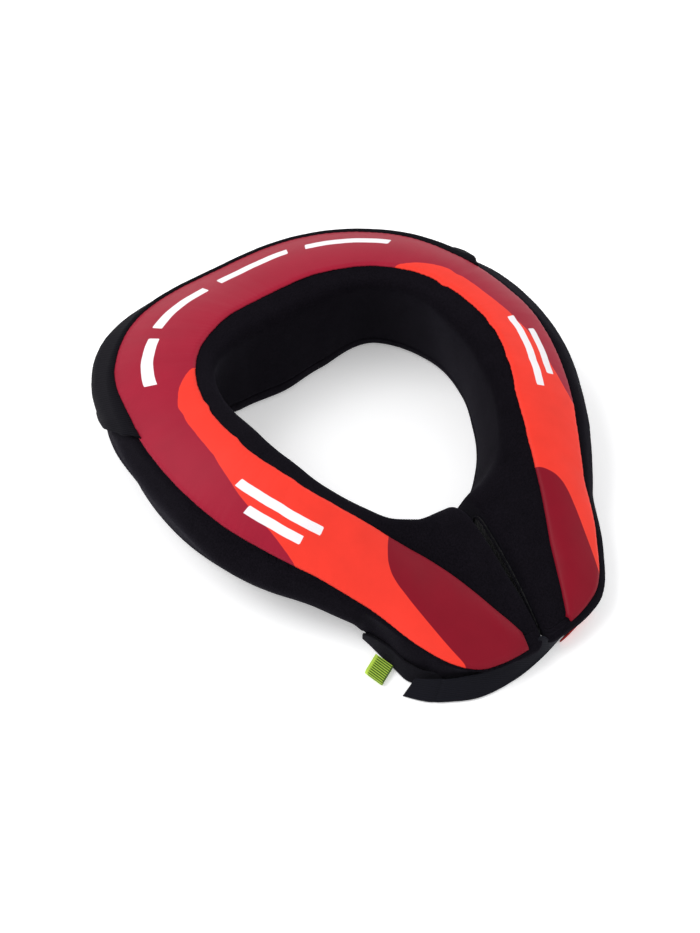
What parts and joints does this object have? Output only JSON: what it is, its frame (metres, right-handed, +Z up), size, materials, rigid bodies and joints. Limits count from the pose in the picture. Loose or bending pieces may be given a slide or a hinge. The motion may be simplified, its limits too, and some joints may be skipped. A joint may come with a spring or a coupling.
{
  "type": "padded neck roll",
  "caption": "Padded neck roll for motor sport: egg-shaped foam collar, open at the front, with a sloping coloured top panel, back band, closing strap and pull tab.",
  "frame": {"origin": "middle of the footprint, on the surface it rests on", "axes": "+Z up, +Y towards the back of the neck, slit towards -Y, +X to the wearer's left"},
  "size_m": [0.2402, 0.296, 0.0662],
  "materials": {
    "collar_fleece": "matt brushed fleece over foam",
    "panel_knit": "smooth satin knit, printed maroon and orange-red",
    "band_weave": "fine woven cloth",
    "strap_weave": "woven webbing",
    "patch_loop": "loop cloth",
    "tab_ribbon": "ribbed ribbon",
    "hook_tape": "hook tape",
    "badge_cloth": "smooth patch"
  },
  "bodies": {
    "root": {"padded_collar": "collar_fleece", "printed_panel": "panel_knit", "back_band": "band_weave", "front_strap": "strap_weave", "loop_patch": "patch_loop", "pull_tab": "tab_ribbon", "hook_strip": "hook_tape", "strap_badge": "badge_cloth"}
  },
  "joints": []
}
